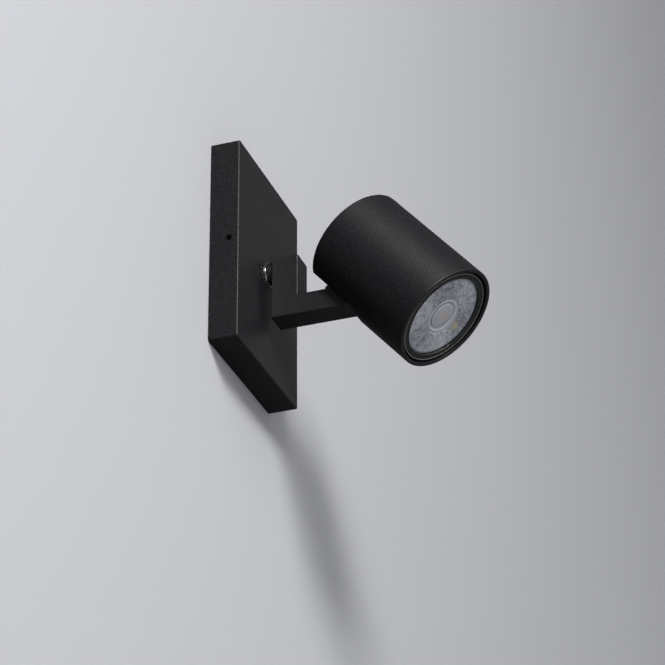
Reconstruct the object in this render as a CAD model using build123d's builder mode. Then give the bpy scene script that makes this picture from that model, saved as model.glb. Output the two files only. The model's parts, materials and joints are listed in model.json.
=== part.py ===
from build123d import *
import os
from math import cos, radians, sin, sqrt

# Pivoting spotlight wall light. The origin is the centre of the base's back, on the wall.
# +Z is up, +X is to the right of someone who faces the light, and it stands out along -Y.
# Lengths are in millimetres and angles in degrees.

# ---------------------------------------------------------------- driving sizes
# base cover and mounting bracket
cover_width = 82.0
cover_height = 110.0
cover_depth = 15.0
cover_wall = 1.5
cover_corner_radius = 1.2
cover_edge_radius = 0.7
grub_from_wall = 9.8
grub_thread_radius = 1.5
grub_length = 5.0
grub_sunk = 1.0
bracket_thickness = 1.2
bracket_strap_width = 30.0
bracket_strap_height = 94.0
bracket_wing_height = 22.0
bracket_bend_radius = 1.5
wall_slot_spacing = 76.0
wall_slot_width = 4.5
wall_slot_length = 10.0
cable_hole_radius = 6.5
cable_hole_drop = 19.0

# swivel between the cover and the arm
stem_radius = 4.0
stem_bore_radius = 2.5
stem_flat_depth = 0.7
stem_in_leg = 5.2
collar_flange_radius = 6.3
collar_flange_thickness = 0.8
collar_sleeve_radius = 5.2
collar_edge_radius = 0.35
spacer_radius = 5.0
leg_gap = 3.9
fibre_washer_radius = 7.4
fibre_washer_thickness = 0.7
stop_washer_radius = 6.6
stop_washer_thickness = 1.0
stop_tab_width = 3.0
stop_tab_reach = 10.0
stop_pin_radius = 1.25
stop_pin_circle_radius = 8.9
stop_pin_height = 2.4
spring_washer_radius = 6.6
spring_washer_thickness = 0.8
spring_washer_split = 0.8
spring_washer_split_angle = 25.0
stem_nut_across_flats = 13.0
stem_nut_thickness = 3.0
stem_past_nut = 0.7

# arm
arm_width = 13.5
leg_depth = 13.8
leg_top = 4.8
arm_height = 11.1
arm_drop = 22.9
pivot_reach = 63.3
arm_edge_radius = 0.6
leg_channel_radius = 2.8
arm_channel_radius = 2.75
plug_length = 3.0
channel_lead_radius = 3.0

# head
head_tilt = 49.0
head_radius = 27.8
head_length = 68.0
head_wall = 2.0
head_cap_thickness = 2.0
head_rear_fillet = 0.8
head_rim_fillet = 0.5
pivot_from_rear = 26.0
pivot_from_axis = 19.5
slot_width = 17.0
slot_length = 33.6
slot_corner_radius = 4.0
slot_floor = 13.6

# hinge inside the head
ear_thickness = 1.5
ear_tip_radius = 4.5
ear_back_radius = 6.0
friction_washer_radius = 3.6
friction_washer_thickness = 0.4
pivot_screw_radius = 2.0
pivot_screw_head_radius = 3.2
pivot_screw_head_height = 1.8
hinge_plate_width = 38.0
hinge_plate_low = -11.0
hinge_plate_corner_radius = 3.0
rear_screw_spacing = 30.0
rear_screw_radius = 1.5
rear_screw_head_radius = 2.8
rear_screw_past_plate = 0.8
countersink_taper = 45.0
rear_screw_recess_length = 3.0
rear_screw_recess_width = 0.7
rear_screw_recess_depth = 0.9

# lampholder
holder_radius = 12.0
holder_length = 14.5
holder_web = 3.0
holder_cavity_depth = 8.5
holder_screw_spacing = 17.0
holder_screw_radius = 1.5
holder_screw_head_radius = 2.6
holder_screw_head_height = 1.9
holder_counterbore_depth = 3.0
holder_edge_radius = 0.5
holder_lead_from_cap = 6.5
holder_lead_from_axis = 3.0
holder_lead_depth = 3.0
pin_spacing = 10.0
pin_radius = 1.55
pin_head_radius = 2.5
pin_head_length = 2.2
pin_length = 7.3
pin_slot_turn = 45.0
pin_clearance = 0.3

# lamp
lamp_radius = 25.0
lamp_recess = 1.2
lamp_neck_radius = 12.5
lamp_neck_length = 12.8
lamp_flare_length = 20.0
lamp_shell_wall = 1.2
lamp_neck_chamfer = 1.0
bezel_inner_radius = 21.6
bezel_depth = 4.2
bezel_edge_radius = 0.5
lens_recess = 0.9
lens_rim_thickness = 1.6
lens_ring_radius = 8.75
lens_ring_groove = 0.7
lens_ring_slope = 0.5
lens_cone_gap = 0.6
lens_base_radius = 8.0
lens_depth = 12.0
lens_dome_rise = 0.2
lens_hollow_depth = 3.5
lens_chip_gap = 0.8
board_thickness = 1.6
chip_radius = 3.4
chip_thickness = 0.9

# terminal block, earth and leads
terminal_pitch = 9.0
terminal_length = 16.0
terminal_height = 10.0
terminal_barrel_radius = 3.4
terminal_centre_height = 23.0
terminal_web_thickness = 3.0
terminal_corner_radius = 1.0
sleeve_radius = 1.9
sleeve_bore_radius = 1.3
sleeve_length = 14.0
clamp_screw_radius = 1.25
clamp_screw_spacing = 8.6
clamp_screw_sunk = 1.0
clamp_slot_width = 0.5
clamp_slot_depth = 0.8
chimney_radius = 2.5
fixing_boss_radius = 2.4
fixing_boss_past_barrels = 2.6
fixing_head_radius = 2.1
fixing_head_height = 1.5
earth_screw_from_tab = 14.2
earth_screw_radius = 2.0
earth_head_radius = 3.6
earth_head_height = 2.4
ring_tag_radius = 4.0
ring_tag_thickness = 0.8
crimp_length = 4.0
crimp_wall = 0.5
crimp_from_screw = ring_tag_radius + 0.6
lead_radius = 0.8
lead_offset = 1.1
lead_in_sleeve = 2.0
lead_bend = 2.5
earth_lead_bend = 2.6
earth_lead_slant = 0.6
stem_lead_bend = 3.2
base_lead_straight = 3.0
base_lead_slant = 6.0
base_lead_in_stem = 1.0
head_lead_bend = 3.0
head_lead_stub = 4.5
head_lead_bow = 6.5
head_lead_return = 5.0
head_lead_tuck = 1.0

# clearances
running_clearance = 0.05
fit_clearance = 0.05
flat_clearance = 0.1
loose_clearance = 0.3
lead_clearance = 0.4

# ---------------------------------------------------------------- places that several pieces share
# distances to the side of the middle
tab_outer = cover_width / 2 - cover_wall - loose_clearance
earth_screw_offset = tab_outer - earth_screw_from_tab

# distances out from the wall, along -Y
cover_inside = cover_depth - cover_wall
collar_front = cover_depth + collar_flange_thickness
leg_back = cover_depth + leg_gap
leg_front = leg_back + leg_depth
leg_channel_out = leg_back + stem_in_leg + leg_channel_radius + loose_clearance
stop_washer_front = cover_inside - fibre_washer_thickness - flat_clearance
spring_washer_front = stop_washer_front - stop_washer_thickness
stem_nut_front = spring_washer_front - spring_washer_thickness
stem_nut_back = stem_nut_front - stem_nut_thickness
stem_back = stem_nut_back - stem_past_nut
arm_bottom = -arm_drop - arm_height / 2
arm_side = arm_width / 2
ear_inner = arm_side + friction_washer_thickness + 2 * running_clearance
ear_outer = ear_inner + ear_thickness

# the head's own directions: along its axis to the front, and square to that towards its slotted underside
tilt = radians(head_tilt)
head_forward = Vector(0, -cos(tilt), -sin(tilt))
head_under = Vector(0, sin(tilt), -cos(tilt))
pivot_centre = Vector(0, -pivot_reach, -arm_drop)
head_rear = pivot_centre - head_forward * pivot_from_rear - head_under * pivot_from_axis
head_side_plane = Plane(origin=head_rear, x_dir=head_forward, z_dir=(1, 0, 0))
head_slot_plane = Plane(origin=head_rear, x_dir=(1, 0, 0), z_dir=head_under)
head_cross_plane = Plane(origin=head_rear, x_dir=(1, 0, 0), z_dir=head_forward)
head_axis = Axis(head_rear, head_forward)

# distances along the head's axis from the outside of its rear cap
head_bore_radius = head_radius - head_wall
hinge_plate_front = head_cap_thickness + ear_thickness
holder_front = hinge_plate_front + holder_length
neck_front = holder_front + lamp_neck_length
flare_front = neck_front + lamp_flare_length
bezel_front = head_length - lamp_recess
bezel_back = bezel_front - bezel_depth
lens_front = bezel_front - lens_recess
lens_back = lens_front - lens_depth
chip_back = lens_back - chip_thickness
board_back = chip_back - board_thickness
pin_tip = holder_front - pin_length


def from_wall(distance):
    """A plane parallel to the wall at this distance from it, facing the room: x is X and y is Z."""
    return Plane.XZ.offset(distance)


def sideways(plane, x, y):
    """The same plane moved to the point x, y of itself."""
    return Plane(origin=plane.from_local_coords((x, y, 0)), x_dir=plane.x_dir, z_dir=plane.z_dir)


def add_round(plane, radius, length):
    """Adds a round bar that starts on the plane and runs along its normal."""
    with BuildSketch(plane) as section:
        Circle(radius)
    extrude(section.sketch, amount=length)


def cut_round(plane, radius, depth):
    """Cuts a round hole that starts on the plane and runs along its normal."""
    with BuildSketch(plane) as section:
        Circle(radius)
    extrude(section.sketch, amount=depth, mode=Mode.SUBTRACT)


def add_ring(plane, outer_radius, inner_radius, length):
    """Adds a ring or washer that starts on the plane and runs along its normal."""
    with BuildSketch(plane) as section:
        Circle(outer_radius)
        Circle(inner_radius, mode=Mode.SUBTRACT)
    extrude(section.sketch, amount=length)


def add_screw(seat, thread_radius, thread_length, head_radius, head_height):
    """Adds a cross-recessed screw whose head sits on the plane, on the side of its normal."""
    recess_width = 0.3 * thread_radius + 0.3
    recess_depth = 0.55 * head_height
    with BuildSketch(seat) as head:
        Circle(head_radius)
    extrude(head.sketch, amount=head_height, taper=18)
    add_round(seat, thread_radius, -thread_length)
    with BuildSketch(seat.offset(head_height)) as recess:
        Rectangle(1.1 * head_radius, recess_width)
        Rectangle(recess_width, 1.1 * head_radius)
    extrude(recess.sketch, amount=-recess_depth, mode=Mode.SUBTRACT)


def add_grub(start, thread_radius, length):
    """Adds a socket grub screw that starts on the plane and runs along its normal, socket at the far end."""
    add_round(start, thread_radius, length)
    with BuildSketch(start.offset(length)) as socket:
        RegularPolygon(0.45 * thread_radius, 6, major_radius=False)
    extrude(socket.sketch, amount=-0.4 * length, mode=Mode.SUBTRACT)


def add_lead(points, bend_radii):
    """Adds an insulated lead along straight runs joined by round bends."""
    with BuildLine() as route:
        FilletPolyline(*points, radius=bend_radii)
    with BuildSketch(Plane(origin=route.line @ 0, z_dir=route.line % 0)) as section:
        Circle(lead_radius)
    sweep(section.sketch, path=route.line)


def curved_slot(plane, circle_radius, width, start_angle, turn):
    """A slot of this width that follows part of a circle about the plane's origin."""
    with BuildSketch(plane) as slot:
        with BuildLine():
            outer_arc = CenterArc((0, 0), circle_radius + width / 2, start_angle, turn)
            inner_arc = CenterArc((0, 0), circle_radius - width / 2, start_angle, turn)
            Line(outer_arc @ 0, inner_arc @ 0)
            Line(outer_arc @ 1, inner_arc @ 1)
        make_face()
        for angle in (start_angle, start_angle + turn):
            with PolarLocations(circle_radius, 1, start_angle=angle):
                Circle(width / 2)
    return slot.sketch


def finish(piece, label):
    """Names a piece and writes it to its own file."""
    piece.part.label = label
    export_step(piece.part, f"parts/{label}.step")


os.makedirs("parts", exist_ok=True)

# ---------------------------------------------------------------- base
grub_line = Plane(origin=(-cover_width / 2, -grub_from_wall, 0), z_dir=(1, 0, 0))

# Box-shaped cover, open at the back, with a hole for the swivel and one for a grub screw in each side.
with BuildPart() as wall_cover:
    with BuildSketch(from_wall(0)):
        RectangleRounded(cover_width, cover_height, cover_corner_radius)
    extrude(amount=cover_depth)
    fillet(wall_cover.faces().sort_by(Axis.Y)[0].edges(), cover_edge_radius)
    with BuildSketch(from_wall(0)):
        Rectangle(cover_width - 2 * cover_wall, cover_height - 2 * cover_wall)
    extrude(amount=cover_inside, mode=Mode.SUBTRACT)
    cut_round(from_wall(cover_inside), collar_sleeve_radius + fit_clearance, cover_wall)
    cut_round(grub_line, grub_thread_radius + fit_clearance, cover_width)
finish(wall_cover, "wall_cover")

# Zinc-plated steel bracket: an upright strap with two wall slots, and wings whose bent tabs take the grubs.
tab_reach = cover_inside - 2 * loose_clearance
with BuildPart() as mounting_bracket:
    with BuildSketch(Plane.XY.offset(-bracket_wing_height / 2)):
        with BuildLine():
            Polyline(
                (-tab_outer, -tab_reach),
                (-tab_outer, 0),
                (tab_outer, 0),
                (tab_outer, -tab_reach),
                (tab_outer - bracket_thickness, -tab_reach),
                (tab_outer - bracket_thickness, -bracket_thickness),
                (-tab_outer + bracket_thickness, -bracket_thickness),
                (-tab_outer + bracket_thickness, -tab_reach),
                close=True,
            )
        make_face()
    extrude(amount=bracket_wing_height)
    outer_bends = mounting_bracket.edges().filter_by(Axis.Z).group_by(Axis.Y)[-1]
    fillet(outer_bends, bracket_bend_radius)
    with BuildSketch(from_wall(0)):
        RectangleRounded(bracket_strap_width, bracket_strap_height, bracket_bend_radius)
    extrude(amount=bracket_thickness)
    with BuildSketch(from_wall(0)):
        with Locations((0, wall_slot_spacing / 2), (0, -wall_slot_spacing / 2)):
            SlotOverall(wall_slot_length, wall_slot_width, rotation=90)
        with Locations((0, -cable_hole_drop)):
            Circle(cable_hole_radius)
        with Locations((-terminal_pitch / 2, terminal_centre_height)):
            Circle(clamp_screw_radius + fit_clearance)
        with Locations((earth_screw_offset, 0)):
            Circle(earth_screw_radius + fit_clearance)
    extrude(amount=bracket_thickness, mode=Mode.SUBTRACT)
    cut_round(grub_line, grub_thread_radius + fit_clearance, cover_width)
finish(mounting_bracket, "mounting_bracket")

with BuildPart() as cover_grub_screws:
    for side in (1, -1):
        grub_tip = side * (cover_width / 2 - grub_sunk - grub_length)
        grub_start = Plane(origin=(grub_tip, -grub_from_wall, 0), z_dir=(side, 0, 0))
        add_grub(grub_start, grub_thread_radius, grub_length)
finish(cover_grub_screws, "cover_grub_screws")

# Terminal block: three barrels on a web, with a screw chimney at each end of every barrel.
barrel_out = bracket_thickness + terminal_barrel_radius + lead_clearance
block_out = bracket_thickness + terminal_height
pole_places = (-terminal_pitch, 0, terminal_pitch)
terminal_plane = sideways(from_wall(bracket_thickness), 0, terminal_centre_height)
clamp_places = [(x, side * clamp_screw_spacing / 2) for x in pole_places for side in (1, -1)]
fixing_out = barrel_out + fixing_boss_past_barrels
with BuildPart() as terminal_block:
    with BuildSketch(terminal_plane):
        RectangleRounded(3 * terminal_pitch, terminal_length, terminal_corner_radius)
    extrude(amount=terminal_web_thickness)
    with BuildSketch(Plane.XY.offset(terminal_centre_height - terminal_length / 2)):
        with Locations(*[(x, -barrel_out) for x in pole_places]):
            Circle(terminal_barrel_radius)
    extrude(amount=terminal_length)
    with BuildSketch(terminal_plane):
        with Locations(*clamp_places):
            Circle(chimney_radius)
    extrude(amount=terminal_height)
    with BuildSketch(terminal_plane):
        with Locations((-terminal_pitch / 2, 0)):
            Circle(fixing_boss_radius)
    extrude(amount=fixing_out - bracket_thickness)
    with BuildSketch(Plane.XY.offset(terminal_centre_height - terminal_length / 2)):
        with Locations(*[(x, -barrel_out) for x in pole_places]):
            Circle(sleeve_radius + fit_clearance)
    extrude(amount=terminal_length, mode=Mode.SUBTRACT)
    with BuildSketch(from_wall(barrel_out)):
        with Locations(*[(x, terminal_centre_height + z) for x, z in clamp_places]):
            Circle(clamp_screw_radius + fit_clearance)
    extrude(amount=terminal_height, mode=Mode.SUBTRACT)
    with BuildSketch(terminal_plane):
        with Locations((-terminal_pitch / 2, 0)):
            Circle(clamp_screw_radius + fit_clearance)
    extrude(amount=terminal_height, mode=Mode.SUBTRACT)
finish(terminal_block, "terminal_block")

with BuildPart() as terminal_sleeves:
    for pole_x in pole_places:
        sleeve_end = Plane(origin=(pole_x, -barrel_out, terminal_centre_height - sleeve_length / 2))
        add_ring(sleeve_end, sleeve_radius, sleeve_bore_radius, sleeve_length)
    with BuildSketch(from_wall(barrel_out)):
        with Locations(*[(x, terminal_centre_height + z) for x, z in clamp_places]):
            Circle(clamp_screw_radius + fit_clearance)
    extrude(amount=terminal_height, mode=Mode.SUBTRACT)
finish(terminal_sleeves, "terminal_sleeves")

clamp_tip = from_wall(barrel_out + lead_radius + fit_clearance)
clamp_length = block_out - clamp_screw_sunk - barrel_out - lead_radius
with BuildPart() as terminal_screws:
    for clamp_x, clamp_z in clamp_places:
        clamp_start = sideways(clamp_tip, clamp_x, terminal_centre_height + clamp_z)
        add_round(clamp_start, clamp_screw_radius, clamp_length)
        with BuildSketch(clamp_start.offset(clamp_length)):
            Rectangle(2 * clamp_screw_radius, clamp_slot_width)
        extrude(amount=-clamp_slot_depth, mode=Mode.SUBTRACT)
finish(terminal_screws, "terminal_screws")

with BuildPart() as terminal_fixing_screw:
    fixing_seat = sideways(from_wall(fixing_out), -terminal_pitch / 2, terminal_centre_height)
    add_screw(fixing_seat, clamp_screw_radius, fixing_out - flat_clearance,
              fixing_head_radius, fixing_head_height)
finish(terminal_fixing_screw, "terminal_fixing_screw")

tag_out = bracket_thickness + ring_tag_thickness
with BuildPart() as earth_screw:
    earth_seat = sideways(from_wall(tag_out), earth_screw_offset, 0)
    add_screw(earth_seat, earth_screw_radius, tag_out - flat_clearance, earth_head_radius, earth_head_height)
finish(earth_screw, "earth_screw")

# Ring tag with a crimp barrel that the earth lead runs into.
crimp_outer_radius = lead_radius + crimp_wall
with BuildPart() as earth_tag:
    with BuildSketch(sideways(from_wall(bracket_thickness), earth_screw_offset, 0)):
        Circle(ring_tag_radius)
        with Locations((0, (crimp_from_screw + crimp_length) / 2)):
            Rectangle(2 * crimp_outer_radius, crimp_from_screw + crimp_length)
        Circle(earth_screw_radius + fit_clearance, mode=Mode.SUBTRACT)
    extrude(amount=ring_tag_thickness)
    crimp_start = Plane(origin=(earth_screw_offset, -tag_out - lead_radius, crimp_from_screw))
    add_round(crimp_start, crimp_outer_radius, crimp_length)
    cut_round(crimp_start.offset(2 * crimp_wall), lead_radius + fit_clearance, crimp_length)
finish(earth_tag, "earth_tag")

sleeve_low = terminal_centre_height - sleeve_length / 2
lead_entry = sleeve_low + lead_in_sleeve
earth_lead_level = (sleeve_low + crimp_from_screw + crimp_length) / 2 + lead_clearance
with BuildPart() as earth_lead:
    add_lead(
        [
            (terminal_pitch, -barrel_out, lead_entry),
            (terminal_pitch, -barrel_out, earth_lead_level),
            (earth_screw_offset, -tag_out - lead_radius, earth_lead_level - earth_lead_slant),
            (earth_screw_offset, -tag_out - lead_radius, crimp_from_screw + 2 * crimp_wall),
        ],
        earth_lead_bend,
    )
finish(earth_lead, "earth_lead")

# Live and neutral leads of the base run from the block down behind the stem and into its bore.
lead_behind_stem = bracket_thickness + lead_radius + lead_clearance
base_lead_end = stem_back + base_lead_in_stem
base_lead_low = sleeve_low - base_lead_straight
base_leads = (("base_lead_live", -terminal_pitch, -lead_offset), ("base_lead_neutral", 0, lead_offset))
for label, pole_x, lead_x in base_leads:
    with BuildPart() as base_lead:
        add_lead(
            [
                (pole_x, -barrel_out, lead_entry),
                (pole_x, -barrel_out, base_lead_low),
                (lead_x, -lead_behind_stem, base_lead_low - base_lead_slant),
                (lead_x, -lead_behind_stem, 0),
                (lead_x, -base_lead_end, 0),
            ],
            [lead_bend, lead_bend, stem_lead_bend],
        )
    finish(base_lead, label)

# ---------------------------------------------------------------- swivel
with BuildPart() as swivel_collar:
    add_round(from_wall(cover_inside), collar_sleeve_radius, cover_wall)
    add_round(from_wall(cover_depth), collar_flange_radius, collar_flange_thickness)
    fillet(swivel_collar.faces().sort_by(Axis.Y)[0].edges(), collar_edge_radius)
    cut_round(from_wall(cover_inside), stem_radius + running_clearance, collar_front - cover_inside)
finish(swivel_collar, "swivel_collar")

with BuildPart() as fibre_washer:
    add_ring(from_wall(cover_inside - fibre_washer_thickness), fibre_washer_radius,
             stem_radius + running_clearance, fibre_washer_thickness)
finish(fibre_washer, "fibre_washer")

with BuildPart() as stop_pin:
    pin_foot = sideways(from_wall(cover_inside), 0, -stop_pin_circle_radius)
    add_round(pin_foot, stop_pin_radius, -stop_pin_height)
finish(stop_pin, "stop_pin")

# Hollow threaded stem, screwed into the leg; a flat on its inner end keys the stop washer.
stem_front = leg_back + stem_in_leg
with BuildPart() as swivel_stem:
    add_ring(from_wall(stem_back), stem_radius, stem_bore_radius, stem_front - stem_back)
    with BuildSketch(from_wall(stem_back)):
        with Locations((0, stem_radius)):
            Rectangle(2 * stem_radius, 2 * stem_flat_depth)
    extrude(amount=stop_washer_front - stem_back, mode=Mode.SUBTRACT)
finish(swivel_stem, "swivel_stem")

with BuildPart() as leg_spacer:
    add_ring(from_wall(collar_front + flat_clearance), spacer_radius,
             stem_radius + running_clearance, leg_back - collar_front - flat_clearance)
finish(leg_spacer, "leg_spacer")

with BuildPart() as stop_washer:
    with BuildSketch(from_wall(spring_washer_front)):
        Circle(stop_washer_radius)
        with Locations((0, stop_tab_reach / 2)):
            Rectangle(stop_tab_width, stop_tab_reach)
        with BuildSketch(mode=Mode.SUBTRACT):
            Circle(stem_radius + running_clearance)
            with Locations((0, 2 * stem_radius - stem_flat_depth + running_clearance)):
                Rectangle(4 * stem_radius, 2 * stem_radius, mode=Mode.SUBTRACT)
    extrude(amount=stop_washer_thickness)
finish(stop_washer, "stop_washer")

# Split spring washer.
with BuildPart() as spring_washer:
    with BuildSketch(from_wall(stem_nut_front)):
        Circle(spring_washer_radius)
        Circle(stem_radius + fit_clearance, mode=Mode.SUBTRACT)
        with Locations((spring_washer_radius, 0)):
            Rectangle(2 * spring_washer_radius, spring_washer_split,
                      rotation=spring_washer_split_angle, mode=Mode.SUBTRACT)
    extrude(amount=spring_washer_thickness)
finish(spring_washer, "spring_washer")

with BuildPart() as stem_nut:
    with BuildSketch(from_wall(stem_nut_back)):
        RegularPolygon(stem_nut_across_flats / 2, 6, major_radius=False)
        Circle(stem_radius + fit_clearance, mode=Mode.SUBTRACT)
    extrude(amount=stem_nut_thickness)
finish(stem_nut, "stem_nut")

# ---------------------------------------------------------------- arm
# L-shaped bar with a round end at the pivot and a wire channel from the stem to that end.
leg_middle = (leg_top + arm_bottom) / 2
with BuildPart() as arm_bar:
    with BuildSketch(Plane.YZ) as arm_outline:
        with Locations((-(leg_back + leg_front) / 2, leg_middle)):
            Rectangle(leg_depth, leg_top - arm_bottom)
        with Locations((-(leg_back + pivot_reach) / 2, -arm_drop)):
            Rectangle(pivot_reach - leg_back, arm_height)
        with Locations((-pivot_reach, -arm_drop)):
            Circle(arm_height / 2)
    extrude(amount=arm_side, both=True)
    fillet(arm_bar.faces().filter_by(Axis.X).edges(), arm_edge_radius)
    cut_round(from_wall(leg_back), stem_radius + fit_clearance, stem_in_leg + fit_clearance)
    cut_round(from_wall(leg_back), stem_bore_radius, leg_channel_out - leg_back)
    cut_round(Plane(origin=(0, -leg_channel_out, leg_top), z_dir=(0, 0, -1)),
              leg_channel_radius, leg_top + arm_drop + arm_channel_radius)
    cut_round(sideways(from_wall(leg_channel_out), 0, -arm_drop), arm_channel_radius, pivot_reach)
    cut_round(Plane(origin=pivot_centre - Vector(arm_width, 0, 0), z_dir=(1, 0, 0)),
              pivot_screw_radius + fit_clearance, 2 * arm_width)
finish(arm_bar, "arm_bar")

with BuildPart() as channel_plug:
    add_round(Plane(origin=(0, -leg_channel_out, leg_top), z_dir=(0, 0, -1)),
              leg_channel_radius - fit_clearance, plug_length)
finish(channel_plug, "channel_plug")

arm_lead_start = base_lead_end + flat_clearance
leg_lead_out = leg_channel_out + lead_clearance
arm_lead_end = pivot_reach + arm_height / 2
for label, lead_x in (("arm_lead_live", -lead_offset), ("arm_lead_neutral", lead_offset)):
    with BuildPart() as arm_lead:
        add_lead(
            [
                (lead_x, -arm_lead_start, 0),
                (lead_x, -leg_lead_out, 0),
                (lead_x, -leg_lead_out, -arm_drop),
                (lead_x, -arm_lead_end, -arm_drop),
            ],
            channel_lead_radius,
        )
    finish(arm_lead, label)

# One shoulder screw in each side of the arm's end, so that the leads pass between their tips.
screw_seat_out = ear_outer + running_clearance
pivot_screw_length = screw_seat_out - arm_channel_radius - lead_clearance
with BuildPart() as pivot_screws:
    for side in (1, -1):
        screw_seat = Plane(origin=pivot_centre + Vector(side * screw_seat_out, 0, 0), z_dir=(side, 0, 0))
        add_screw(screw_seat, pivot_screw_radius, pivot_screw_length,
                  pivot_screw_head_radius, pivot_screw_head_height)
finish(pivot_screws, "pivot_screws")

with BuildPart() as friction_washers:
    for side in (1, -1):
        washer_seat = Plane(origin=pivot_centre + Vector(side * arm_side, 0, 0), z_dir=(side, 0, 0))
        add_ring(washer_seat, friction_washer_radius, pivot_screw_radius + running_clearance,
                 friction_washer_thickness)
finish(friction_washers, "friction_washers")

# ---------------------------------------------------------------- head
# Drawn round shell with a closed rear; the slot underneath runs out through the rear cap.
with BuildPart() as head_shell:
    with BuildSketch(head_side_plane):
        with Locations((head_length / 2, head_radius / 2)):
            Rectangle(head_length, head_radius)
    revolve(axis=head_axis)
    rear_edge = head_shell.edges().filter_by(GeomType.CIRCLE).sort_by(head_axis)[0]
    fillet(rear_edge, head_rear_fillet)
    bore_length = head_length - head_cap_thickness
    cut_round(head_cross_plane.offset(head_cap_thickness), head_bore_radius, bore_length)
    rim_edges = head_shell.faces().sort_by(head_axis)[-1].edges()
    fillet(rim_edges, head_rim_fillet)
    slot_rear = slot_corner_radius + head_cap_thickness
    with BuildSketch(head_slot_plane.offset(slot_floor)):
        with Locations((0, (slot_length - slot_rear) / 2)):
            RectangleRounded(slot_width, slot_length + slot_rear, slot_corner_radius)
    extrude(amount=head_radius, mode=Mode.SUBTRACT)
    with BuildSketch(head_cross_plane):
        with Locations((rear_screw_spacing / 2, 0), (-rear_screw_spacing / 2, 0)):
            Circle(rear_screw_head_radius + fit_clearance)
    extrude(amount=rear_screw_head_radius - rear_screw_radius, taper=countersink_taper, mode=Mode.SUBTRACT)
    with BuildSketch(head_cross_plane):
        with Locations((rear_screw_spacing / 2, 0), (-rear_screw_spacing / 2, 0)):
            Circle(rear_screw_radius + fit_clearance)
    extrude(amount=head_cap_thickness, mode=Mode.SUBTRACT)
finish(head_shell, "head_shell")

# Pressed steel hinge bracket: a plate on the rear cap and two ears that reach down to the pivot.
hinge_plate_high = slot_floor - loose_clearance
ear_low = sqrt((holder_radius + loose_clearance) ** 2 - ear_inner**2)
with BuildPart() as hinge_bracket:
    with BuildSketch(head_cross_plane.offset(head_cap_thickness)):
        with Locations((0, -(hinge_plate_high + hinge_plate_low) / 2)):
            RectangleRounded(hinge_plate_width, hinge_plate_high - hinge_plate_low,
                             hinge_plate_corner_radius)
    extrude(amount=ear_thickness)
    for side in (1, -1):
        with BuildSketch(head_side_plane.offset(side * (ear_inner + ear_outer) / 2)):
            with BuildLine():
                Polyline(
                    (head_cap_thickness, ear_low),
                    (holder_front, ear_low),
                    (pivot_from_rear, pivot_from_axis - ear_tip_radius),
                    (pivot_from_rear, pivot_from_axis + ear_tip_radius),
                    (hinge_plate_front + ear_back_radius, pivot_from_axis - lamp_neck_chamfer),
                    (head_cap_thickness, hinge_plate_high),
                    close=True,
                )
            make_face()
            with Locations((pivot_from_rear, pivot_from_axis)):
                Circle(ear_tip_radius)
                Circle(pivot_screw_radius + running_clearance, mode=Mode.SUBTRACT)
        extrude(amount=ear_thickness / 2, both=True)
    with BuildSketch(head_cross_plane.offset(head_cap_thickness)):
        with Locations((rear_screw_spacing / 2, 0), (-rear_screw_spacing / 2, 0)):
            Circle(rear_screw_radius + fit_clearance)
        with Locations((0, holder_screw_spacing / 2), (0, -holder_screw_spacing / 2)):
            Circle(holder_screw_radius + fit_clearance)
    extrude(amount=ear_thickness, mode=Mode.SUBTRACT)
finish(hinge_bracket, "hinge_bracket")

# Countersunk screws through the rear cap into the hinge bracket.
with BuildPart() as rear_screws:
    for side in (1, -1):
        screw_face = sideways(head_cross_plane, side * rear_screw_spacing / 2, 0)
        with BuildSketch(screw_face):
            Circle(rear_screw_head_radius)
        extrude(amount=rear_screw_head_radius - rear_screw_radius, taper=countersink_taper)
        add_round(screw_face, rear_screw_radius, hinge_plate_front + rear_screw_past_plate)
        with BuildSketch(screw_face):
            Rectangle(rear_screw_recess_length, rear_screw_recess_width)
            Rectangle(rear_screw_recess_width, rear_screw_recess_length)
        extrude(amount=rear_screw_recess_depth, mode=Mode.SUBTRACT)
finish(rear_screws, "rear_screws")

# Ceramic lampholder: two curved keyhole slots take the lamp's pins and turn into their locked place.
pin_circle = pin_spacing / 2
pin_slot_width = 2 * (pin_radius + pin_clearance)
pin_cavity_width = 2 * (pin_head_radius + pin_clearance)
holder_face = head_cross_plane.offset(holder_front)
holder_web_back = head_cross_plane.offset(holder_front - holder_web)
with BuildPart() as lampholder:
    add_round(head_cross_plane.offset(hinge_plate_front), holder_radius, holder_length)
    fillet(lampholder.edges().filter_by(GeomType.CIRCLE), holder_edge_radius)
    for half_turn in (0, 180):
        neck_slot = curved_slot(holder_face, pin_circle, pin_slot_width, half_turn, pin_slot_turn)
        extrude(neck_slot, amount=-holder_web, mode=Mode.SUBTRACT)
        with BuildSketch(holder_face):
            with PolarLocations(pin_circle, 1, start_angle=half_turn + pin_slot_turn):
                Circle(pin_cavity_width / 2)
        extrude(amount=-holder_web, mode=Mode.SUBTRACT)
        cavity = curved_slot(holder_web_back, pin_circle, pin_cavity_width, half_turn, pin_slot_turn)
        extrude(cavity, amount=holder_web - holder_cavity_depth, mode=Mode.SUBTRACT)
    for side in (1, -1):
        holder_hole = sideways(holder_face, 0, side * holder_screw_spacing / 2)
        cut_round(holder_hole, holder_screw_head_radius + pin_clearance, -holder_counterbore_depth)
        cut_round(holder_hole, holder_screw_radius + fit_clearance, -holder_length)
        lead_mouth = head_side_plane.from_local_coords(
            (holder_lead_from_cap, holder_lead_from_axis, side * holder_radius)
        )
        lead_hole = Plane(origin=lead_mouth, z_dir=(-side, 0, 0))
        cut_round(lead_hole, lead_radius + fit_clearance, holder_lead_depth)
finish(lampholder, "lampholder")

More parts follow.
